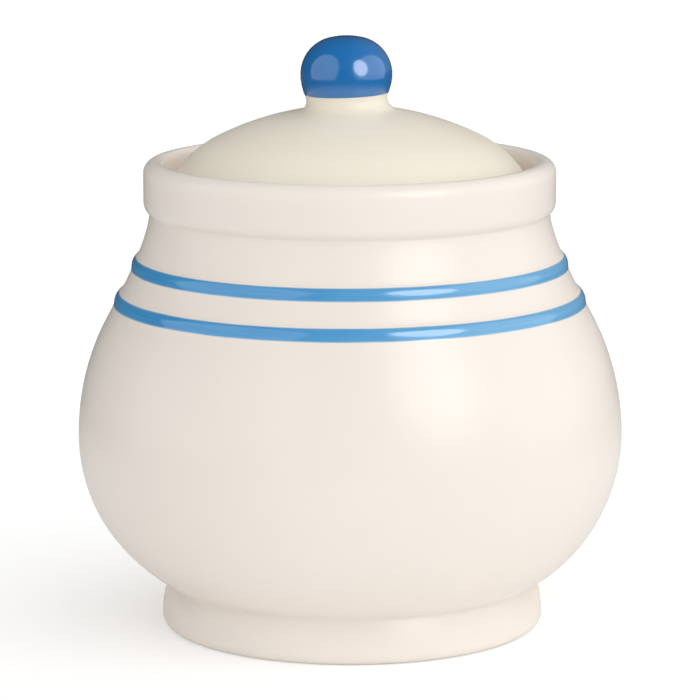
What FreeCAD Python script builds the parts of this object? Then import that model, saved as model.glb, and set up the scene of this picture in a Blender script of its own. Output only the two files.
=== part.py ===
import FreeCAD, Part
import math
import os

# Glazed earthenware sugar bowl with a loose domed lid.  Millimetres, +Z up.
# The origin is the centre of the plane that the foot stands on.  Every piece is
# turned about the Z axis, so each one starts as a half section in the XZ plane,
# where X is the radius.

# ---- foot -------------------------------------------------------------------
foot_radius = 38.7            # widest ring of the foot
foot_corner = 2.2             # rounding where the foot meets the table
foot_height = 9.1             # table to the crease between foot and belly
foot_crease_radius = 37.3
foot_ring_width = 4.6         # thickness of the foot ring at the table
foot_ring_taper = 1.0         # how much the ring thickens up to the underside
foot_inner_rounding = 0.6
underside_corner = 1.6        # rounding where the ring meets the underside
crease_softening = 0.5        # clay and glaze that fill the outer creases

# ---- belly ------------------------------------------------------------------
belly_radius = 55.0           # widest ring of the bowl
belly_low_arc = 34.3          # profile arc below the widest ring
belly_high_arc = 50.3         # profile arc above the widest ring
belly_high_rise = 24.0        # how far the upper arc runs above the widest ring
body_wall = 4.2
floor_thickness = 4.4

# ---- neck, collar and rim ---------------------------------------------------
neck_rise = 45.1              # widest ring to the crease under the collar
neck_lean = 5.0               # degrees the neck still leans in at that crease
shoulder_pull = 0.25          # how long the shoulder follows the belly, per chord
neck_pull = 0.27              # how long it follows the neck, per chord
collar_radius = 41.4
collar_overhang = 1.2         # how far the collar stands out over the neck
collar_underside_arc = 3.0
collar_height = 10.7          # crease to the top of the rim
collar_wall = 4.0
rim_outer_rounding = 2.6
rim_inner_rounding = 1.2
rim_outer_share = 0.65        # most of the collar wall that each rounding may take
rim_inner_share = 0.3

# ---- gallery: the ledge that carries the lid --------------------------------
seat_depth = 5.1              # rim down to the ledge
seat_width = 5.4
seat_thickness = 4.0          # height of the throat wall under the ledge
seat_corner = 1.2             # rounding at the back of the ledge
throat_slope = 45.0           # degrees, underside of the ledge
throat_rounding = 0.7
neck_inner_pull = 0.28        # length of the inner curve's ends, per chord

# ---- relief bands -----------------------------------------------------------
upper_band_drop = 9.8         # below the crease under the collar
lower_band_drop = 17.0
upper_band_width = 2.9
lower_band_width = 3.0
band_relief = 0.75            # how far a band stands out of the wall
band_seat = 0.5               # how deep a band lies in the wall

# ---- lid --------------------------------------------------------------------
lid_gap = 2.6                 # radial gap between lid and collar
lid_wall = 4.0
lid_crown_arc = 59.7          # profile arc of the crown
lid_edge_arc = 20.4           # tighter profile arc towards the edge
lid_edge_inset = 7.6          # width of that tighter stretch
lid_edge_height = 2.4         # thickness of the lid where its edge arc ends
lid_edge_rounding = 1.0
lid_foot_rounding = 0.5
flange_clearance = 0.7        # radial gap between flange and throat
flange_wall = 3.4
flange_depth = 4.7            # how far the flange reaches below the ledge
flange_rounding = 1.0
flange_root_rounding = 2.0

# ---- knob -------------------------------------------------------------------
knob_neck_radius = 8.1
knob_neck_flare = 2.2         # rounding from the crown into the neck
knob_neck_height = 2.5        # crown's peak to the joint with the knob
knob_joint_radius = 8.4
knob_radius = 9.2
knob_low_height = 3.9         # joint to the widest ring of the knob
knob_side_arc = 7.5
knob_side_angle = 78.0        # degrees of side arc before the flatter top
hollow_radius = 4.2           # cast hollow inside the lid under the knob
hollow_depth = 4.2

# ---- heights and radii that follow ------------------------------------------
low_centre = belly_radius - belly_low_arc
high_centre = belly_radius - belly_high_arc
belly_drop = math.sqrt(belly_low_arc ** 2 - (foot_crease_radius - low_centre) ** 2)
belly_height = foot_height + belly_drop
neck_radius = collar_radius - collar_overhang
collar_base = belly_height + neck_rise
rim_height = collar_base + collar_height
seat_height = rim_height - seat_depth
gallery_radius = collar_radius - collar_wall
throat_radius = gallery_radius - seat_width
inner_floor = belly_height - belly_low_arc + body_wall
underside = inner_floor - floor_thickness
lid_radius = gallery_radius - lid_gap
flange_radius = throat_radius - flange_clearance
flange_inner_radius = flange_radius - flange_wall


def at(radius, height):
    return FreeCAD.Vector(radius, 0, height)


def polar(length, degrees):
    """A vector of this length, this many degrees above the X axis."""
    angle = math.radians(degrees)
    return at(length * math.cos(angle), length * math.sin(angle))


def line(start, end):
    return Part.LineSegment(start, end).toShape()


def chain(points):
    """Straight edges from each point to the next."""
    return [line(start, end) for start, end in zip(points, points[1:])]


def arc(centre, start, end):
    """The shorter arc about a centre, from start to end."""
    middle = (start - centre) + (end - centre)
    middle.normalize()
    return Part.Arc(start, centre + middle * (start - centre).Length, end).toShape()


def upright_arc(start, end):
    """The arc that leaves start straight up or down and passes through end."""
    across = start.x - end.x
    radius = (across ** 2 + (end.z - start.z) ** 2) / (2 * across)
    return arc(at(start.x - radius, start.z), start, end)


def blend(start, start_way, start_pull, end, end_way, end_pull):
    """A smooth curve that leaves start and reaches end along the given ways."""
    chord = (end - start).Length
    curve = Part.BezierCurve()
    curve.setPoles([start, start + start_way * start_pull * chord, end - end_way * end_pull * chord, end])
    return curve.toShape()


def turn(edges):
    """Turns a closed half section about Z into one solid."""
    section = Part.Face(Part.Wire(Part.__sortEdges__(edges)))
    return section.revolve(FreeCAD.Vector(0, 0, 0), FreeCAD.Vector(0, 0, 1), 360)


def soften(solid, rounding, corner):
    """Rounds the ring-shaped edge that passes through a corner of the section."""
    rings = [
        edge
        for edge in solid.Edges
        if not edge.Degenerated
        and isinstance(edge.Curve, Part.Circle)
        and math.isclose(edge.Curve.Radius, corner.x, abs_tol=0.001)
        and math.isclose(edge.Curve.Center.z, corner.z, abs_tol=0.001)
    ]
    return solid.makeFillet(rounding, rings)


def belly_angle():
    """Degrees that the upper belly arc runs through, up to the shoulder."""
    return math.degrees(math.asin(belly_high_rise / belly_high_arc))


def outer_wall():
    """Upper belly arc and shoulder curve: the stretch that carries the bands."""
    centre = at(high_centre, belly_height)
    shoulder = centre + polar(belly_high_arc, belly_angle())
    crease = at(neck_radius, collar_base)
    return [
        arc(centre, at(belly_radius, belly_height), shoulder),
        blend(
            shoulder, polar(1, 90 + belly_angle()), shoulder_pull,
            crease, polar(1, 90 + neck_lean), neck_pull,
        ),
    ]


def foot_section():
    """From the middle of the underside out to the crease above the foot."""
    ring_inner = foot_radius - foot_ring_width
    corner_start = at(foot_radius - foot_corner, 0)
    corner_end = at(foot_radius, foot_corner)
    corner_centre = at(foot_radius - foot_corner, foot_corner)
    flats = chain([
        at(0, underside),
        at(ring_inner - foot_ring_taper, underside),
        at(ring_inner, 0),
        corner_start,
    ])
    side = upright_arc(corner_end, at(foot_crease_radius, foot_height))
    return flats + [arc(corner_centre, corner_start, corner_end), side]


def collar_section():
    """From the crease under the collar over the rim and down to the throat."""
    lift = math.sqrt(collar_underside_arc ** 2 - (collar_underside_arc - collar_overhang) ** 2)
    side_start = at(collar_radius, collar_base + lift)
    underside_centre = at(collar_radius - collar_underside_arc, collar_base + lift)
    crease = at(neck_radius, collar_base)
    return [arc(underside_centre, crease, side_start)] + chain([
        side_start,
        at(collar_radius, rim_height),
        at(gallery_radius, rim_height),
        at(gallery_radius, seat_height),
        at(throat_radius, seat_height),
        at(throat_radius, seat_height - seat_thickness),
    ])


def inner_section():
    """The inside wall, from the throat down to the middle of the floor."""
    low_inner_arc = belly_low_arc - body_wall
    high_inner_arc = belly_high_arc - body_wall
    widest = at(belly_radius - body_wall, belly_height)
    floor_edge = at(low_centre, inner_floor)
    high_point = at(high_centre, belly_height)
    shoulder = high_point + polar(high_inner_arc, belly_angle())
    throat = at(throat_radius, seat_height - seat_thickness)
    return [
        blend(
            shoulder, polar(1, 90 + belly_angle()), neck_inner_pull,
            throat, polar(1, 90 + throat_slope), neck_inner_pull,
        ),
        arc(high_point, widest, shoulder),
        arc(at(low_centre, belly_height), floor_edge, at(low_centre + low_inner_arc, belly_height)),
        line(floor_edge, at(0, inner_floor)),
    ]


def bowl():
    """Foot, belly, shoulder, collar and gallery: one piece of clay."""
    crease = at(foot_crease_radius, foot_height)
    low_belly = arc(at(low_centre, belly_height), crease, at(belly_radius, belly_height))
    axis = line(at(0, inner_floor), at(0, underside))
    outside = foot_section() + [low_belly] + outer_wall()
    solid = turn(outside + collar_section() + inner_section() + [axis])
    ring_inner = foot_radius - foot_ring_width
    rim_outer = min(rim_outer_rounding, rim_outer_share * collar_wall)
    rim_inner = min(rim_inner_rounding, rim_inner_share * collar_wall)
    roundings = [
        (crease_softening, crease),
        (crease_softening, at(neck_radius, collar_base)),
        (foot_inner_rounding, at(ring_inner, 0)),
        (underside_corner, at(ring_inner - foot_ring_taper, underside)),
        (rim_outer, at(collar_radius, rim_height)),
        (rim_inner, at(gallery_radius, rim_height)),
        (seat_corner, at(gallery_radius, seat_height)),
        (throat_rounding, at(throat_radius, seat_height)),
    ]
    for rounding, corner in roundings:
        solid = soften(solid, rounding, corner)
    return solid


def wall_point(height):
    """The point of the outer wall at a height, and the wall's way up there."""
    level = line(at(0, height), at(2 * belly_radius, height))
    for edge in outer_wall():
        distance, pairs, _ = edge.distToShape(level)
        if distance < 0.0001:
            point = pairs[0][0]
            way = edge.tangentAt(edge.Curve.parameter(point))
            return point, way * math.copysign(1, way.z)
    raise ValueError("the band is not on the upper wall")


def band_corners(drop, width):
    """Middle of a band on the wall, its lower and upper edge, and the way out."""
    middle, way = wall_point(collar_base - drop)
    return middle, middle - way * width / 2, middle + way * width / 2, at(way.z, -way.x)


def band(drop, width):
    """A low rounded rib around the shoulder, let into the wall."""
    middle, low, high, out = band_corners(drop, width)
    crest = Part.Arc(low, middle + out * band_relief, high).toShape()
    return turn([crest] + chain([high, high - out * band_seat, low - out * band_seat, low]))


def groove(drop, width):
    """The ring of space that a band's seat takes up in the wall."""
    _, low, high, out = band_corners(drop, width)
    outside = out * band_relief
    bottom = out * band_seat
    corners = [low - bottom, low + outside, high + outside, high - bottom]
    return turn(chain(corners + corners[:1]))


def lid_arcs():
    """Centres of the crown arc and the edge arc, and the point where they meet."""
    turn_radius = lid_radius - lid_edge_inset
    angle = 90 - math.degrees(math.asin(turn_radius / lid_crown_arc))
    edge_centre_radius = turn_radius - polar(lid_edge_arc, angle).x
    edge_rise = math.sqrt(lid_edge_arc ** 2 - (lid_radius - edge_centre_radius) ** 2)
    edge_centre = at(edge_centre_radius, seat_height + lid_edge_height - edge_rise)
    meeting = edge_centre + polar(lid_edge_arc, angle)
    return meeting - polar(lid_crown_arc, angle), edge_centre, meeting


def joint_height():
    """Height of the flat joint between the lid's neck and the knob."""
    crown_centre, _, _ = lid_arcs()
    return crown_centre.z + lid_crown_arc + knob_neck_height


def lid_top_section():
    """From the knob joint down the neck and over the crown to the edge."""
    crown_centre, edge_centre, meeting = lid_arcs()
    flare_radius = knob_neck_radius + knob_neck_flare
    flare_reach = lid_crown_arc + knob_neck_flare
    flare_height = crown_centre.z + math.sqrt(flare_reach ** 2 - flare_radius ** 2)
    flare_centre = at(flare_radius, flare_height)
    flare_top = at(knob_neck_radius, flare_height)
    flare_foot = crown_centre + (flare_centre - crown_centre) * (lid_crown_arc / flare_reach)
    joint = at(knob_joint_radius, joint_height())
    edge = at(lid_radius, seat_height + lid_edge_height)
    return [
        line(at(0, joint.z), joint),
        upright_arc(flare_top, joint),
        arc(flare_centre, flare_top, flare_foot),
        arc(crown_centre, flare_foot, meeting),
        arc(edge_centre, meeting, edge),
        line(edge, at(lid_radius, seat_height)),
    ]


def lid_under_section():
    """From the foot of the edge over the flange to the hollow's peak."""
    crown_centre, _, _ = lid_arcs()
    inner_arc = lid_crown_arc - lid_wall
    flange_root = crown_centre.z + math.sqrt(inner_arc ** 2 - flange_inner_radius ** 2)
    hollow_mouth = crown_centre.z + math.sqrt(inner_arc ** 2 - hollow_radius ** 2)
    hollow_end = at(0, hollow_mouth + hollow_depth)
    hollow_centre = at(0, hollow_end.z - hollow_radius)
    root = at(flange_inner_radius, flange_root)
    mouth = at(hollow_radius, hollow_mouth)
    flange_foot = seat_height - flange_depth
    flange = chain([
        at(lid_radius, seat_height),
        at(flange_radius, seat_height),
        at(flange_radius, flange_foot),
        at(flange_inner_radius, flange_foot),
        root,
    ])
    return flange + [
        arc(crown_centre, root, mouth),
        arc(hollow_centre, mouth, hollow_end),
        line(hollow_end, at(0, joint_height())),
    ], root


def lid():
    """Domed crown with its locating flange below and the knob's neck above."""
    under, flange_root = lid_under_section()
    solid = turn(lid_top_section() + under)
    flange_foot = seat_height - flange_depth
    roundings = [
        (lid_edge_rounding, at(lid_radius, seat_height + lid_edge_height)),
        (lid_foot_rounding, at(lid_radius, seat_height)),
        (flange_rounding, at(flange_radius, flange_foot)),
        (flange_rounding, at(flange_inner_radius, flange_foot)),
        (flange_root_rounding, flange_root),
    ]
    for rounding, corner in roundings:
        solid = soften(solid, rounding, corner)
    return solid


def knob():
    """A slightly flattened ball, luted to the flat top of the lid's neck."""
    joint = at(knob_joint_radius, joint_height())
    widest = at(knob_radius, joint.z + knob_low_height)
    side_centre = widest - at(knob_side_arc, 0)
    side_end = side_centre + polar(knob_side_arc, knob_side_angle)
    top_arc = side_end.x / math.cos(math.radians(knob_side_angle))
    top_centre = side_end - polar(top_arc, knob_side_angle)
    top = top_centre + at(0, top_arc)
    return turn([
        line(at(0, joint.z), joint),
        upright_arc(widest, joint),
        arc(side_centre, widest, side_end),
        arc(top_centre, side_end, top),
        line(top, at(0, joint.z)),
    ])


upper_groove = groove(upper_band_drop, upper_band_width)
lower_groove = groove(lower_band_drop, lower_band_width)
pieces = {
    "bowl": bowl().cut(upper_groove).cut(lower_groove),
    "upper_band": band(upper_band_drop, upper_band_width),
    "lower_band": band(lower_band_drop, lower_band_width),
    "lid": lid(),
    "knob": knob(),
}

os.makedirs("parts", exist_ok=True)
for name, shape in pieces.items():
    shape.exportStep(f"parts/{name}.step")
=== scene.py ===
import math

import bmesh
import bpy
import numpy as np
from mathutils import Matrix, Vector


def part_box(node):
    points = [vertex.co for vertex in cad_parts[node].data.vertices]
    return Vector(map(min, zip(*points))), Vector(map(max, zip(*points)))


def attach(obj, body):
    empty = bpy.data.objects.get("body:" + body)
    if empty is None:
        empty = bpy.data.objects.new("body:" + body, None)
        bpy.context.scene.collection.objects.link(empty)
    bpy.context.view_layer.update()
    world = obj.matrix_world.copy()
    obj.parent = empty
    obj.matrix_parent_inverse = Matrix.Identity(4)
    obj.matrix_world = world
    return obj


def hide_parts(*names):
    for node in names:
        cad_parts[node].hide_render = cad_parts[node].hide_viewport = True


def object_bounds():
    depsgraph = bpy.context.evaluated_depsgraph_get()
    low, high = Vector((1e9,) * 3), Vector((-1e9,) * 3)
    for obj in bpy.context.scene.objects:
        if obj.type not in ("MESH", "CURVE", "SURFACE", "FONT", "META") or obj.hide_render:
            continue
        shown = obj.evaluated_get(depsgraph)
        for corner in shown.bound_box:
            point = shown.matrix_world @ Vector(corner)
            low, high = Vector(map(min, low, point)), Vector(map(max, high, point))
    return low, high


# Looks of a glazed ceramic sugar bowl.  Metres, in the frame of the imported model.
# The bowl's axis is Z, the floor is z = 0 and the camera looks from -Y.
# Each piece is a lathe mesh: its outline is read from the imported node, drawn again
# as a smooth curve, turned about Z, and given the small faults of hand work.

MM = 0.001

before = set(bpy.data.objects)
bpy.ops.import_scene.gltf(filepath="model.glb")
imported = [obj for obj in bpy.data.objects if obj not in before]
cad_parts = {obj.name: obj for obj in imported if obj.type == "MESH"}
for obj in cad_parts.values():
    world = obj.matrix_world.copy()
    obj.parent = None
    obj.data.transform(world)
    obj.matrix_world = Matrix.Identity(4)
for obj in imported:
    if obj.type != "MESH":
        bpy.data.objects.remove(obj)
cad_box = [list(corner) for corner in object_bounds()]

# ---- camera -----------------------------------------------------------------
CAMERA_DISTANCE = 770.2 * MM       # level distance from the bowl's axis
CAMERA_HEIGHT = 195.0 * MM
CAMERA_PITCH = 10.24               # degrees below level
CAMERA_ROLL = -0.1                 # degrees
SENSOR = 36.0
LENS = 199.0
CLIP_END = 50.0

# ---- lathe meshes -----------------------------------------------------------
TOUCHING = 0.002 * MM              # points nearer than this are one point
SHARP_TURN = math.radians(33)      # a bend in the outline that stays a corner
UNEVEN = 3.0                       # length ratio past which the longer run leads
DRAWN_STEP = 0.04 * MM             # spacing of the redrawn outline
CORNER_ROUNDING = 0.06 * MM        # glaze on the few sharp edges
CREASE_SOFTNESS = 0.7 * MM         # glaze in the crease under the collar
CREASE_REACH = 4.0 * MM
FLARE_SOFTNESS = 0.45 * MM         # and where the crown turns up into the neck
FLARE_REACH = 2.6 * MM
POOL_AND_SHADE_WIDTH = 0.9 * MM              # width over which glaze pools in a hollow and painted shade darkens it
POOL_AND_SHADE_RADIUS = 2.2 * MM             # hollows this tight fill with glaze and take the full painted shade
RING_STEP = 2.0 * MM               # spacing of rings where the outline is gentle
FINE_STEP = 0.06 * MM              # spacing on the smallest roundings
TURN_STEP = math.radians(8)        # most that the outline turns between rings
BOWL_SIDES = 288
LID_SIDES = 280
KNOB_SIDES = 200

# ---- small faults of hand work ----------------------------------------------
OVAL = 0.10 * MM                   # how much the casting is out of round
OVAL_MEAN = 0.5
OVAL_WAVES = ((2, -0.45, 0.0), (3, 0.05, 0.6))  # lobes, share of OVAL and turn
KNOB_SHIFT = -0.60 * MM            # the knob sits off the middle of the lid
KNOB_LEAN = math.radians(0.5)
JOINT_TILT = math.radians(1.3)     # the line where the knob is luted on isn't level
JOINT_SPAN = 2.4 * MM
SHOULDER_TILT = math.radians(0.12) # nor are the ridges on the shoulder
SHOULDER_RISE = 12 * MM            # the tilt comes in this far below the bands
SHOULDER_FALL = 8 * MM             # and goes this far above them
FOOT_SHIFT = 0.35 * MM             # the foot sits off the middle too
FOOT_TOP = 11 * MM
FOOT_BLEND = 26 * MM
LEAN_START = 4.6 * MM              # below the knob's joint
LEAN_RISE = 4.0 * MM

# ---- relief bands -----------------------------------------------------------
GROOVE_REACH = 1.2                 # outline left out around a band's groove, per rib half width
GROOVE_SINK = 0.3 * MM             # and only this deep or deeper
WAY_SOFTNESS = 0.3 * MM            # evens out the wall's direction
RIDGE_SHARE = 0.72                 # glaze fills in part of the rib's relief
RIDGE_SOFTNESS = 0.6               # how softly the ridge grows out of the wall
RIDGE_REACH = 2.4                  # where the ridge has died away, per rib half width
PAINT_HALF = 0.92                  # half width of the paint, per rib half width
PAINT_DROP = 0.20                  # the paint sits a little low on its ridge
PAINT_REACH = 1.18                 # half width of the band piece
PAINT_PROUD = 0.02 * MM
PAINT_BACK = 0.35 * MM
PAINT_RINGS = 31
PAINT_BACK_RINGS = 8

# ---- glaze colours (linear) and gloss ---------------------------------------
BODY_CREAM = (0.858, 0.788, 0.720, 1.0)
# the body's pool colour is glaze pooled in hollows and painted shade there; its thin colour is thin
# glaze on crests and painted light there
BODY_POOL_AND_SHADE = (0.790, 0.715, 0.600, 1.0)
BODY_THIN_AND_LIT = (0.890, 0.840, 0.770, 1.0)
LID_CREAM = (0.880, 0.815, 0.690, 1.0)
# the lid's pool colour is glaze pooled in hollows and painted shade there; its thin colour is thin
# glaze on crests and painted light there
LID_POOL_AND_SHADE = (0.780, 0.700, 0.570, 1.0)
LID_THIN_AND_LIT = (0.880, 0.830, 0.750, 1.0)
BARE_CLAY = (0.72, 0.64, 0.54, 1.0)
BARE_CLAY_DARK = (0.60, 0.51, 0.41, 1.0)
KNOB_BLUE = (0.005, 0.155, 0.455, 1.0)
# the knob's deep and thin blues: glaze pooled in hollows with painted shade, and thin glaze on
# crests with painted light
KNOB_BLUE_POOL_AND_SHADE = (0.004, 0.090, 0.310, 1.0)
KNOB_BLUE_THIN_AND_LIT = (0.012, 0.170, 0.470, 1.0)
BAND_BLUE = (0.045, 0.275, 0.590, 1.0)
BAND_BLUE_THIN = (0.070, 0.330, 0.635, 1.0)
# pale blue for the paint's thin edges, and for the painted reflection on the bands' lit side
BAND_BLUE_RIM_AND_SHEEN = (0.260, 0.540, 0.750, 1.0)
DRIFT_SHADE = 0.975                # the glaze's slow drift in tone
# how far hollows go to the pool colour and crests to the thin colour: glaze pooling and thinning,
# and painted shade and painted light
POOL_AND_SHADE_SHARE = 0.15
THIN_AND_LIT_SHARE = 0.45
PAINT_WANDER = 0.10                # unevenness of the paint's edge, per rib half width
PAINT_FADE = 0.100                 # softness of the paint's edge
PAINT_RIM_SHARE = 0.35             # thinner paint along the edges
PAINT_RIM = 0.30
PAINTED_SHEEN_START = -30 * MM           # painted reflection of the right-hand light: the bands pale towards +X, the lit side
PAINTED_SHEEN_END = 45 * MM
PAINTED_SHEEN_SHARE = 0.42
NOISE_SPAN = (0.3, 0.7)            # the range that most of a noise falls in
LOAD_SPAN = (0.35, 0.65)           # from a full brush to a dry one
DRIFT_WAVES = 26.0                 # noise scales, per metre
SHINE_WAVES = 90.0
GRAIN_WAVES = 1800.0
STREAK_WAVES = (70.0, 70.0, 2600.0)
PATCH_WAVES = 45.0
WANDER_WAVES = 160.0
PEEL_WAVES = 170.0
PEEL_PITS = 900.0
PEEL_PIT_SHARE = 0.06
CREAM_PEEL = 0.022 * MM
BLUE_PEEL = 0.008 * MM
CREAM_IOR = 1.31
CREAM_ROUGHNESS = (0.22, 0.27)
LID_ROUGHNESS = (0.33, 0.40)
KNOB_IOR = 1.4
BLUE_ROUGHNESS = (0.10, 0.14)
CLAY_ROUGHER = 0.6                 # how much rougher bare clay is than glaze
KNOB_COAT = 1.0
KNOB_COAT_ROUGHNESS = 0.15
KNOB_COAT_IOR = 1.7
BAND_IOR = 1.75
BARE_HEIGHT = 0.04 * MM            # the foot's contact ring is left bare of glaze

# ---- studio -----------------------------------------------------------------
STUDIO_RADIUS = 0.6
AIM_HEIGHT = 0.06
FLOOR_RADIUS = 9.0
FLOOR_SIDES = 96
FLOOR_WAVES = 3.0
FLOOR_TONES = ((0.92, 0.92, 0.92, 1.0), (0.94, 0.94, 0.94, 1.0))
FLOOR_DARK = (0.08, 0.08, 0.08, 1.0)
FLOOR_GLOW = 0.24                  # as the camera sees it
FLOOR_BOUNCE = 0.13                # as it lights the bowl
TABLE_NEAR = 0.10                  # the floor fades out of reflections between these
TABLE_FAR = 0.40                   # distances from the axis
TABLE_DULL = 0.3                   # and is this much dimmer in them from the start
ROOM_TINT = (1.0, 1.0, 1.0, 1.0)
ROOM_LEVEL = 0.308
ROOM_SLOPES = (((1, 0, 0), 0.93), ((0, -1, 0), 0.76), ((0, 0, 1), 0.34))
REFLECTED_LEVEL = 0.035            # the same room as gloss sees it
REFLECTED_SLOPES = (((0, 0, 1), 0.04), ((1, 0, 0), 0.25))
# cards that the glaze reflects: name, azimuth, elevation, width and height in degrees, radiance
CARDS = (
    ("key_card", 39, 28, 34, 46, 2.9),
    ("right_card", 68, 17, 96, 74, 0.62),
    ("left_card", -62, 18, 78, 84, 0.62),
)


# ---- outlines ---------------------------------------------------------------
def cad_outline(node):
    """A node's half section as ordered (radius, height) points, and whether it is closed."""
    mesh = bmesh.new()
    mesh.from_mesh(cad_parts[node].data)
    bmesh.ops.remove_doubles(mesh, verts=mesh.verts, dist=TOUCHING)
    for normal in ((1, 0, 0), (0, 1, 0)):
        everything = mesh.verts[:] + mesh.edges[:] + mesh.faces[:]
        cut = bmesh.ops.bisect_plane(
            mesh, geom=everything, dist=TOUCHING / 4, plane_co=(0, 0, 0), plane_no=normal
        )["geom_cut"]
    edges = [
        item
        for item in cut
        if isinstance(item, bmesh.types.BMEdge) and all(v.co.x > -TOUCHING for v in item.verts)
    ]
    neighbours = {}
    for edge in edges:
        for vert in edge.verts:
            neighbours.setdefault(vert, []).append(edge.other_vert(vert))
    ends = [vert for vert, near in neighbours.items() if len(near) == 1]
    closed = not ends
    walk = [min(ends or neighbours, key=lambda vert: vert.co.z)]
    seen = set(walk)
    while True:
        ahead = [vert for vert in neighbours[walk[-1]] if vert not in seen]
        if not ahead:
            break
        walk.append(ahead[0])
        seen.add(ahead[0])
    points = np.array([(max(vert.co.x, 0.0), vert.co.z) for vert in walk])
    mesh.free()
    r, z = points.T
    if np.sum(r * np.roll(z, -1) - np.roll(r, -1) * z) < 0:
        points = points[::-1]
    return points, closed


def unit(vectors):
    return vectors / np.linalg.norm(vectors, axis=-1, keepdims=True)


def mirrored(way, axis):
    """A direction mirrored about an axis direction, as an arc's two ends are about its chord."""
    return 2 * np.dot(way, axis) * axis - way


def drawn_again(points, closed):
    """A smooth, evenly dense curve through an outline, with its sharp corners kept."""
    if closed:
        points = np.vstack([points[-1:], points, points[:2]])
    else:
        flip = np.array([-1, 1])
        points = np.vstack([points[1:2] * flip, points, points[-2:-1] * flip])
    steps = np.diff(points, axis=0)
    lengths = np.linalg.norm(steps, axis=1)
    ways = steps / lengths[:, None]
    before, after = ways[:-1], ways[1:]
    length_before, length_after = lengths[:-1, None], lengths[1:, None]
    through = unit(before * length_after + after * length_before)
    through = np.where(length_before > UNEVEN * length_after, before, through)
    through = np.where(length_after > UNEVEN * length_before, after, through)
    sharp = np.sum(before * after, axis=1) < math.cos(SHARP_TURN)
    drawn = []
    for i in range(1, len(steps) - 1):
        leave, arrive = through[i - 1], through[i]
        if sharp[i - 1] and sharp[i]:
            leave, arrive = ways[i], ways[i]
        elif sharp[i - 1]:
            leave = mirrored(arrive, ways[i])
        elif sharp[i]:
            arrive = mirrored(leave, ways[i])
        count = max(1, round(lengths[i] / DRAWN_STEP))
        t = (np.arange(count) / count)[:, None]
        drawn.append(
            (2 * t**3 - 3 * t**2 + 1) * points[i]
            + (t**3 - 2 * t**2 + t) * lengths[i] * leave
            + (3 * t**2 - 2 * t**3) * points[i + 1]
            + (t**3 - t**2) * lengths[i] * arrive
        )
    if not closed:
        drawn.append(points[-2:-1])
    return np.vstack(drawn)


def travelled(path):
    return np.concatenate([[0], np.cumsum(np.linalg.norm(np.diff(path, axis=0), axis=1))])


def softened(path, width):
    """An open path, from axis to axis, smoothed over about this width."""
    reach = int(math.ceil(3 * width / DRAWN_STEP))
    flip = np.array([-1, 1])
    padded = np.vstack([path[reach:0:-1] * flip, path, path[-2 : -reach - 2 : -1] * flip])
    offsets = np.arange(-reach, reach + 1) * DRAWN_STEP
    weights = np.exp(-0.5 * (offsets / width) ** 2)
    weights /= weights.sum()
    smooth = np.stack([np.convolve(padded[:, k], weights, "valid") for k in (0, 1)], axis=1)
    smooth[[0, -1], 0] = 0
    return smooth


def eased(path, middle, reach, width):
    """A path smoothed more, over about this width, near one of its points."""
    distance = travelled(path)
    share = np.clip(1 - ((distance - distance[middle]) / reach) ** 2, 0, 1) ** 2
    return path + share[:, None] * (softened(path, width) - path)


def bending(path):
    """Signed curvature along a path: positive where the surface bulges outwards."""
    way = np.gradient(path, axis=0)
    turn = np.gradient(way, axis=0)
    speed = np.maximum(np.linalg.norm(way, axis=1), 1e-12)
    return (way[:, 0] * turn[:, 1] - way[:, 1] * turn[:, 0]) / speed**3


def rings_along(path):
    """Ring places along a path, closer where it bends, and how much glaze pools at each, which also
    sets the painted shade in hollows and painted light on crests.
    """
    distance = travelled(path)
    bend = bending(softened(path, 2 * CORNER_ROUNDING))
    spacing = np.clip(TURN_STEP / np.maximum(np.abs(bend), 1e-6), FINE_STEP, RING_STEP)
    cost = np.concatenate([[0], np.cumsum(np.diff(distance) / ((spacing[1:] + spacing[:-1]) / 2))])
    count = int(math.ceil(cost[-1]))
    places = np.interp(np.linspace(0, cost[-1], count + 1), cost, distance)
    rings = np.stack([np.interp(places, distance, path[:, k]) for k in (0, 1)], axis=1)
    # the same bend sets glaze pooling in hollows and thinning on crests, and painted shade and
    # painted light with them
    wide_bend = bending(softened(path, POOL_AND_SHADE_WIDTH))
    glaze_depth_and_shading = np.interp(places, distance, np.tanh(-wide_bend * POOL_AND_SHADE_RADIUS))
    return rings, glaze_depth_and_shading


# ---- meshes -----------------------------------------------------------------
def out_of_round(points):
    """A casting a little flatter from front to back than from side to side."""
    angle = np.arctan2(points[:, 1], points[:, 0])
    radius = np.hypot(points[:, 0], points[:, 1])
    belly = cad_box[1][0]
    waves = [size * np.cos(lobes * angle + turn) for lobes, size, turn in OVAL_WAVES]
    squeeze = OVAL * (OVAL_MEAN + sum(waves))
    scale = 1 - squeeze / belly * np.clip(radius / (belly / 2), 0, 1)
    return points * np.stack([scale, scale, np.ones_like(scale)], axis=1)


def leaning(points):
    """The knob and its neck set a little to one side of the crown, and tilted."""
    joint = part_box("knob")[0].z
    share = np.clip((points[:, 2] - joint + LEAN_START) / LEAN_RISE, 0, 1)
    share = share * share * (3 - 2 * share)
    moved = points.copy()
    height = points[:, 2] - joint
    moved[:, 0] += share * (KNOB_SHIFT - height * math.tan(KNOB_LEAN))
    joint_line = np.exp(-((height / JOINT_SPAN) ** 2))
    tilt = share * math.tan(KNOB_LEAN) + joint_line * math.tan(JOINT_TILT)
    moved[:, 2] += points[:, 0] * tilt
    moved[:, 2] = np.minimum(moved[:, 2], cad_box[1][2])
    return moved


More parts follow.
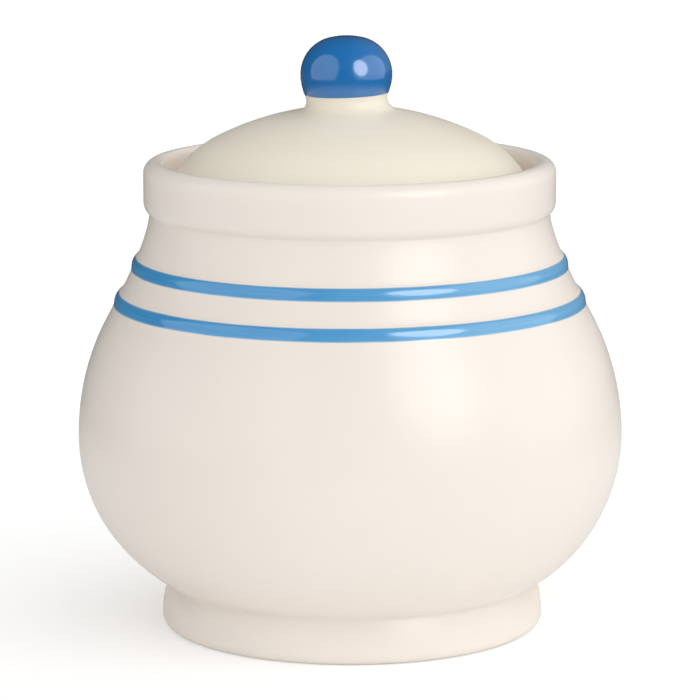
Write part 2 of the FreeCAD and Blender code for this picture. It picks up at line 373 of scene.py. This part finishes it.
def hand_set(points):
    """The foot set a little to one side, and the shoulder and its two ridges out of level."""
    low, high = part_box("lower_band")[0].z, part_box("upper_band")[1].z
    rise = np.clip((points[:, 2] - low + SHOULDER_RISE) / SHOULDER_RISE, 0, 1)
    fall = np.clip((high + SHOULDER_FALL - points[:, 2]) / SHOULDER_FALL, 0, 1)
    share = (rise * fall) ** 2 * (3 - 2 * rise) * (3 - 2 * fall)
    foot = np.clip((FOOT_BLEND - points[:, 2]) / (FOOT_BLEND - FOOT_TOP), 0, 1)
    moved = points.copy()
    moved[:, 0] += FOOT_SHIFT * foot * foot * (3 - 2 * foot)
    moved[:, 2] += share * points[:, 0] * math.tan(SHOULDER_TILT)
    return moved


def lathe(name, rings, sides, closed, shapes, attributes):
    """A mesh turned about Z from (radius, height) rings; an attribute has one value a ring."""
    angles = np.arange(sides) * (2 * math.pi / sides)
    around = np.stack([np.cos(angles), np.sin(angles)], axis=1)
    verts = []
    starts = []
    values = {key: [] for key in attributes}
    for i, (radius, height) in enumerate(rings):
        starts.append(len(verts))
        if radius < TOUCHING:
            ring = [(0.0, 0.0, height)]
        else:
            ring = [(radius * c, radius * s, height) for c, s in around]
        verts.extend(ring)
        for key in attributes:
            values[key].extend([attributes[key][i]] * len(ring))
    faces = []
    pairs = list(zip(starts, starts[1:]))
    if closed:
        pairs.append((starts[-1], starts[0]))
    sizes = dict(zip(starts, np.diff(starts + [len(verts)])))
    for low, high in pairs:
        for j in range(sides):
            k = (j + 1) % sides
            if sizes[low] == 1:
                faces.append((low, high + k, high + j))
            elif sizes[high] == 1:
                faces.append((low + j, low + k, high))
            else:
                faces.append((low + j, low + k, high + k, high + j))
    points = np.array(verts)
    for shape in shapes:
        points = shape(points)
    mesh = bpy.data.meshes.new(name)
    mesh.from_pydata(points.tolist(), [], faces)
    mesh.polygons.foreach_set("use_smooth", [True] * len(faces))
    for key, numbers in values.items():
        mesh.attributes.new(key, "FLOAT", "POINT").data.foreach_set("value", numbers)
    mesh.update()
    piece = bpy.data.objects.new(name, mesh)
    bpy.context.scene.collection.objects.link(piece)
    return piece


def place(piece, body, node, material):
    piece.data.materials.append(material)
    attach(piece, body)
    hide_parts(node)


# ---- relief bands -----------------------------------------------------------
def band_seat(node):
    """A band's middle on the wall, the way out of the wall, the rib's half width and its relief."""
    points, _ = cad_outline(node)
    lengths = np.linalg.norm(np.roll(points, -1, axis=0) - points, axis=1)
    points = np.roll(points, -int(np.argmax(lengths)), axis=0)
    feet = points[[-1, 2]]
    out = unit(feet[0] - points[0] + feet[1] - points[1])
    middle = feet.mean(axis=0)
    half = np.linalg.norm(feet[1] - feet[0]) / 2
    return middle, out, half, np.max((points - middle) @ out)


def without_grooves(points, seats):
    """The bowl's outline carried on over the band grooves."""
    keep = np.ones(len(points), bool)
    for middle, out, half, _ in seats:
        offset = points - middle
        far = np.linalg.norm(offset, axis=1) > GROOVE_REACH * half
        keep &= far | (offset @ out > -GROOVE_SINK)
    return points[keep]


def way_out(wall):
    """The direction out of the wall all along it."""
    way = unit(np.gradient(softened(wall, WAY_SOFTNESS), axis=0))
    return np.stack([way[:, 1], -way[:, 0]], axis=1)


def across_rib(wall, seat):
    """How far along the wall each point lies from a band's middle, in rib half widths."""
    middle, _, half, _ = seat
    distance = travelled(wall)
    return (distance - distance[np.argmin(np.linalg.norm(wall - middle, axis=1))]) / half


def with_ridge(wall, seat):
    """The wall swollen into a soft ridge under a band."""
    across = across_rib(wall, seat)
    swell = 1 - across**2
    soft = (swell + np.sqrt(swell**2 + RIDGE_SOFTNESS**2)) / (1 + math.hypot(1, RIDGE_SOFTNESS))
    fade = np.clip((RIDGE_REACH - np.abs(across)) / (RIDGE_REACH - 1), 0, 1)
    fade = fade * fade * (3 - 2 * fade)
    return wall + way_out(wall) * (seat[3] * RIDGE_SHARE * soft * fade)[:, None]


def paint_section(wall, seat):
    """A band's closed section: a coat a hair above the ridge, whose edges sink under it."""
    front = np.linspace(-PAINT_REACH, PAINT_REACH, PAINT_RINGS)
    back = np.linspace(PAINT_REACH, -PAINT_REACH, PAINT_BACK_RINGS)
    sink = np.clip((np.abs(front) - PAINT_HALF) / (PAINT_REACH - PAINT_HALF), 0, 1)
    height = np.concatenate([PAINT_PROUD * (1 - 2 * sink), np.full(PAINT_BACK_RINGS, -PAINT_BACK)])
    across = np.concatenate([front, back])
    where = across_rib(wall, seat) + PAINT_DROP
    outward = way_out(wall)
    on_wall = np.stack([np.interp(across, where, wall[:, k]) for k in (0, 1)], axis=1)
    lift = np.stack([np.interp(across, where, outward[:, k]) for k in (0, 1)], axis=1)
    return on_wall + lift * height[:, None], across


# ---- materials --------------------------------------------------------------
class Nodes:
    """A short way to add and join shader nodes."""

    def __init__(self, tree):
        self.tree = tree
        tree.nodes.clear()

    def add(self, kind, inputs=None, **settings):
        node = self.tree.nodes.new("ShaderNode" + kind)
        for key, value in settings.items():
            setattr(node, key, value)
        for key, value in (inputs or {}).items():
            if isinstance(value, bpy.types.NodeSocket):
                self.tree.links.new(value, node.inputs[key])
            else:
                node.inputs[key].default_value = value
        return node

    def math(self, operation, *values):
        return self.add("Math", dict(enumerate(values)), operation=operation).outputs[0]

    def mix(self, share, first, second, blend="MIX"):
        node = self.add("Mix", {0: share, 6: first, 7: second}, data_type="RGBA", blend_type=blend)
        return node.outputs[2]

    def ramp(self, value, low, high, to_low=0.0, to_high=1.0):
        inputs = {
            "Value": value, "From Min": low, "From Max": high,
            "To Min": to_low, "To Max": to_high,
        }
        return self.add("MapRange", inputs, interpolation_type="SMOOTHSTEP").outputs["Result"]

    def noise(self, where, scale, detail=2.0, stretch=None):
        if stretch:
            where = self.add("Mapping", {"Vector": where, "Scale": stretch}).outputs["Vector"]
        inputs = {"Vector": where, "Scale": scale, "Detail": detail}
        return self.add("TexNoise", inputs).outputs["Fac"]

    def attribute(self, name):
        return self.add("Attribute", attribute_name=name).outputs["Fac"]


def rgb(red, green, blue):
    return (red, green, blue, 1.0)


def new_material(name):
    material = bpy.data.materials.new(name)
    material.use_nodes = True
    nodes = Nodes(material.node_tree)
    where = nodes.add("TexCoord").outputs["Object"]
    return material, nodes, where


def peel(nodes, where, depth):
    """The faint waves and pits of a fired glaze, as a bump."""
    waves = nodes.noise(where, PEEL_WAVES, 2.0)
    pits = nodes.noise(where, PEEL_PITS, 1.0)
    height = nodes.math("MULTIPLY_ADD", pits, PEEL_PIT_SHARE, waves)
    bump = nodes.add("Bump", {"Height": height, "Strength": 1.0, "Distance": depth})
    return bump.outputs["Normal"]


def shine(nodes, where, low, high):
    """Roughness that drifts a little over the surface."""
    return nodes.ramp(nodes.noise(where, SHINE_WAVES, 3.0), *NOISE_SPAN, low, high)


def finish_shader(nodes, colour, roughness, normal, **constants):
    """The shader and output of a glaze, with its constants set on the shader's own sockets."""
    shader = nodes.add(
        "BsdfPrincipled", {"Base Color": colour, "Roughness": roughness, "Normal": normal}
    )
    for key, value in constants.items():
        shader.inputs[key.replace("_", " ")].default_value = value
    if "Coat_Weight" in constants:  # the clear coat ripples with the glaze
        nodes.tree.links.new(normal, shader.inputs["Coat Normal"])
    nodes.add("OutputMaterial", {"Surface": shader.outputs[0]})


def drifting(nodes, where, colour):
    """A colour that drifts a little darker here and there."""
    drift = nodes.ramp(nodes.noise(where, DRIFT_WAVES, 3.0), *NOISE_SPAN, 0.0, 1.0)
    return nodes.mix(drift, colour, rgb(*[channel * DRIFT_SHADE for channel in colour[:3]]))


def glazed(nodes, where, colour, pooled_and_shaded, thin_and_lit):
    """Glaze colour that drifts slowly, deepens in hollows and pales on edges: pooled and thin
    glaze, and painted shade in the hollows and painted light on the edges.
    """
    base = drifting(nodes, where, colour)
    # painted shade in hollows and painted light on crests, along with the glaze's pooling and
    # thinning
    glaze_depth_and_shading = nodes.attribute("glaze_depth_and_shading")
    deep_and_shaded = nodes.math("MULTIPLY", nodes.math("MAXIMUM", glaze_depth_and_shading, 0.0), POOL_AND_SHADE_SHARE)
    base = nodes.mix(deep_and_shaded, base, pooled_and_shaded)
    crest = nodes.math("MAXIMUM", nodes.math("MULTIPLY", glaze_depth_and_shading, -1.0), 0.0)
    edge = nodes.math("MULTIPLY", crest, THIN_AND_LIT_SHARE)
    return nodes.mix(edge, base, thin_and_lit)


def cream_glaze(name, colour, pooled_and_shaded, thin_and_lit, roughness, bare=False):
    """The cream glaze of the bowl or the lid, and the bowl's bare clay where it stands."""
    material, nodes, where = new_material(name)
    shade = glazed(nodes, where, colour, pooled_and_shaded, thin_and_lit)
    roughness = shine(nodes, where, *roughness)
    if bare:
        clay = nodes.attribute("bare")
        grain = nodes.ramp(nodes.noise(where, GRAIN_WAVES, 3.0), *NOISE_SPAN, 0.0, 1.0)
        shade = nodes.mix(clay, shade, nodes.mix(grain, BARE_CLAY, BARE_CLAY_DARK))
        roughness = nodes.math("MULTIPLY_ADD", clay, CLAY_ROUGHER, roughness)
    finish_shader(nodes, shade, roughness, peel(nodes, where, CREAM_PEEL), IOR=CREAM_IOR)
    return material


def knob_paint():
    """Deep blue under a clear coat."""
    material, nodes, where = new_material("knob_blue")
    shade = glazed(nodes, where, KNOB_BLUE, KNOB_BLUE_POOL_AND_SHADE, KNOB_BLUE_THIN_AND_LIT)
    roughness = shine(nodes, where, *BLUE_ROUGHNESS)
    finish_shader(
        nodes, shade, roughness, peel(nodes, where, BLUE_PEEL),
        IOR=KNOB_IOR, Coat_Weight=KNOB_COAT,
        Coat_Roughness=KNOB_COAT_ROUGHNESS, Coat_IOR=KNOB_COAT_IOR,
    )
    return material


def band_paint():
    """Brushed blue with streaks along the band, uneven edges, a painted reflection paling it
    towards the lit right side, and the bowl's cream past them.
    """
    material, nodes, where = new_material("band_blue")
    streak = nodes.noise(where, 1.0, 3.0, stretch=STREAK_WAVES)
    patch = nodes.noise(where, PATCH_WAVES, 2.0)
    streak_half = nodes.math("MULTIPLY", streak, 0.5)
    patch_half = nodes.math("MULTIPLY", patch, 0.5)
    load = nodes.ramp(nodes.math("ADD", streak_half, patch_half), *LOAD_SPAN, 0.0, 1.0)
    blue = nodes.mix(load, BAND_BLUE, BAND_BLUE_THIN)
    side = nodes.add("SeparateXYZ", {0: where}).outputs["X"]
    # painted reflection: the blue pales towards +X, the side the right-hand light falls on
    painted_sheen = nodes.ramp(side, PAINTED_SHEEN_START, PAINTED_SHEEN_END, 0.0, PAINTED_SHEEN_SHARE)
    blue = nodes.mix(painted_sheen, blue, BAND_BLUE_RIM_AND_SHEEN)
    wander = nodes.noise(where, WANDER_WAVES, 2.0)
    across = nodes.math("ABSOLUTE", nodes.attribute("across"))
    reach = nodes.math("ADD", across, nodes.math("MULTIPLY", wander, PAINT_WANDER))
    edge = PAINT_HALF + PAINT_WANDER / 2
    paint = nodes.ramp(reach, edge - PAINT_FADE, edge + PAINT_FADE, 1.0, 0.0)
    rim = nodes.ramp(reach, edge - PAINT_RIM, edge, 0.0, PAINT_RIM_SHARE)
    blue = nodes.mix(rim, blue, BAND_BLUE_RIM_AND_SHEEN)
    shade = nodes.mix(paint, drifting(nodes, where, BODY_CREAM), blue)
    smooth = shine(nodes, where, *BLUE_ROUGHNESS)
    finish_shader(nodes, shade, smooth, peel(nodes, where, BLUE_PEEL), IOR=BAND_IOR)
    return material


# ---- studio -----------------------------------------------------------------
def toward(azimuth, elevation):
    """A direction from the bowl: azimuth from the camera's side round to the right, in degrees."""
    a, e = math.radians(azimuth), math.radians(elevation)
    return Vector((math.cos(e) * math.sin(a), -math.cos(e) * math.cos(a), math.sin(e)))


def card(name, azimuth, elevation, width, height, radiance):
    """An oval light seen only in gloss, which spans these angles as the bowl sees it."""
    light = bpy.data.lights.new(name, "AREA")
    light.shape = "ELLIPSE"
    light.size = 2 * STUDIO_RADIUS * math.tan(math.radians(width) / 2)
    light.size_y = 2 * STUDIO_RADIUS * math.tan(math.radians(height) / 2)
    light.energy = radiance * math.pi * light.size * light.size_y
    lamp = bpy.data.objects.new(name, light)
    way = toward(azimuth, elevation)
    lamp.location = Vector((0, 0, AIM_HEIGHT)) + way * STUDIO_RADIUS
    lamp.rotation_euler = way.to_track_quat("Z", "Y").to_euler()
    lamp.visible_camera = False
    lamp.visible_diffuse = False
    bpy.context.scene.collection.objects.link(lamp)


def glow(nodes, way, level, slopes):
    """A room's light: the same from everywhere, and more from each of some directions."""
    for direction, amount in slopes:
        facing = nodes.add("VectorMath", {0: way, 1: direction}, operation="DOT_PRODUCT")
        share = nodes.math("MAXIMUM", facing.outputs["Value"], 0.0)
        level = nodes.math("MULTIPLY_ADD", share, amount, level)
    return nodes.add("Background", {"Color": ROOM_TINT, "Strength": level}).outputs[0]


def surroundings():
    """A bright room that lights the bowl, a dim one for its glaze to reflect, and white behind."""
    world = bpy.data.worlds.new("studio")
    bpy.context.scene.world = world
    world.use_nodes = True
    nodes = Nodes(world.node_tree)
    way = nodes.add("TexCoord").outputs["Generated"]
    ray = nodes.add("LightPath").outputs
    room = glow(nodes, way, ROOM_LEVEL, ROOM_SLOPES)
    reflected = glow(nodes, way, REFLECTED_LEVEL, REFLECTED_SLOPES)
    white = nodes.add("Background", {"Color": rgb(1, 1, 1), "Strength": 1.0}).outputs[0]
    lit = nodes.add("MixShader", {0: ray["Is Glossy Ray"], 1: room, 2: reflected}).outputs[0]
    mixed = nodes.add("MixShader", {0: ray["Is Camera Ray"], 1: lit, 2: white}).outputs[0]
    nodes.add("OutputWorld", {"Surface": mixed})


def floor():
    """A plain pale floor that the glaze reflects only near the bowl, as it would a small table."""
    mesh = bmesh.new()
    bmesh.ops.create_circle(mesh, cap_ends=True, segments=FLOOR_SIDES, radius=FLOOR_RADIUS)
    data = bpy.data.meshes.new("floor")
    mesh.to_mesh(data)
    mesh.free()
    disc = bpy.data.objects.new("floor", data)
    bpy.context.scene.collection.objects.link(disc)
    material, nodes, where = new_material("floor_paper")
    tone = nodes.mix(nodes.noise(where, FLOOR_WAVES), *FLOOR_TONES)
    paper = nodes.add("BsdfDiffuse", {"Color": tone}).outputs[0]
    ray = nodes.add("LightPath").outputs
    more = FLOOR_GLOW - FLOOR_BOUNCE
    strength = nodes.math("MULTIPLY_ADD", ray["Is Camera Ray"], more, FLOOR_BOUNCE)
    light = nodes.add("Emission", {"Strength": strength}).outputs[0]
    bright = nodes.add("AddShader", {0: paper, 1: light}).outputs[0]
    dark = nodes.add("BsdfDiffuse", {"Color": FLOOR_DARK}).outputs[0]
    reach = nodes.add("VectorMath", {0: where}, operation="LENGTH").outputs["Value"]
    far = nodes.ramp(reach, TABLE_NEAR, TABLE_FAR, TABLE_DULL, 1.0)
    dim = nodes.math("MULTIPLY", far, ray["Is Glossy Ray"])
    surface = nodes.add("MixShader", {0: dim, 1: bright, 2: dark}).outputs[0]
    nodes.add("OutputMaterial", {"Surface": surface})
    data.materials.append(material)


def camera():
    """The view from the front, a little from above."""
    data = bpy.data.cameras.new("camera")
    data.lens = LENS
    data.sensor_width = SENSOR
    data.clip_end = CLIP_END
    viewer = bpy.data.objects.new("camera", data)
    viewer.location = (0, -CAMERA_DISTANCE, CAMERA_HEIGHT)
    viewer.rotation_mode = "XYZ"
    tilt = Matrix.Rotation(math.radians(90 - CAMERA_PITCH), 4, "X")
    roll = Matrix.Rotation(math.radians(CAMERA_ROLL), 4, "Z")
    viewer.rotation_euler = (tilt @ roll).to_euler()
    bpy.context.scene.collection.objects.link(viewer)
    bpy.context.scene.camera = viewer


# ---- the object -------------------------------------------------------------
seats = {node: band_seat(node) for node in ("upper_band", "lower_band")}

body_glaze = cream_glaze("bowl_glaze", BODY_CREAM, BODY_POOL_AND_SHADE, BODY_THIN_AND_LIT, CREAM_ROUGHNESS, bare=True)
lid_glaze = cream_glaze("lid_glaze", LID_CREAM, LID_POOL_AND_SHADE, LID_THIN_AND_LIT, LID_ROUGHNESS)
band_blue = band_paint()
knob_blue = knob_paint()

points, closed = cad_outline("bowl")
wall = softened(drawn_again(without_grooves(points, seats.values()), closed), CORNER_ROUNDING)
shoulder = np.argmin(np.linalg.norm(wall - seats["upper_band"][0], axis=1))
crease = shoulder + np.argmin(wall[shoulder : np.argmax(wall[:, 1]), 0])
wall = eased(wall, crease, CREASE_REACH, CREASE_SOFTNESS)
for seat in seats.values():
    wall = with_ridge(wall, seat)
rings, glaze_depth_and_shading = rings_along(wall)
bare = np.clip((BARE_HEIGHT - rings[:, 1]) / BARE_HEIGHT + 0.5, 0, 1)
casting = [out_of_round, hand_set]
bowl = lathe("bowl_body", rings, BOWL_SIDES, closed, casting, {"glaze_depth_and_shading": glaze_depth_and_shading, "bare": bare})
place(bowl, "bowl", "bowl", body_glaze)

for node, seat in seats.items():
    section, across = paint_section(wall, seat)
    band = lathe(node + "_paint", section, BOWL_SIDES, True, casting, {"across": across})
    place(band, "bowl", node, band_blue)

points, closed = cad_outline("lid")
crown = softened(drawn_again(points, closed), CORNER_ROUNDING)
edge = np.argmax(crown[:, 0])
flare = edge + np.argmin(bending(softened(crown, FLARE_SOFTNESS))[edge:])
rings, glaze_depth_and_shading = rings_along(eased(crown, flare, FLARE_REACH, FLARE_SOFTNESS))
lid = lathe("lid_shell", rings, LID_SIDES, closed, [out_of_round, leaning], {"glaze_depth_and_shading": glaze_depth_and_shading})
place(lid, "lid", "lid", lid_glaze)

points, closed = cad_outline("knob")
rings, glaze_depth_and_shading = rings_along(softened(drawn_again(points, closed), CORNER_ROUNDING))
knob = lathe("knob_ball", rings, KNOB_SIDES, closed, [leaning], {"glaze_depth_and_shading": glaze_depth_and_shading})
place(knob, "lid", "knob", knob_blue)

# ---- the scene --------------------------------------------------------------
floor()
surroundings()
for spans in CARDS:
    card(*spans)
camera()
bpy.context.scene.view_settings.view_transform = "Standard"
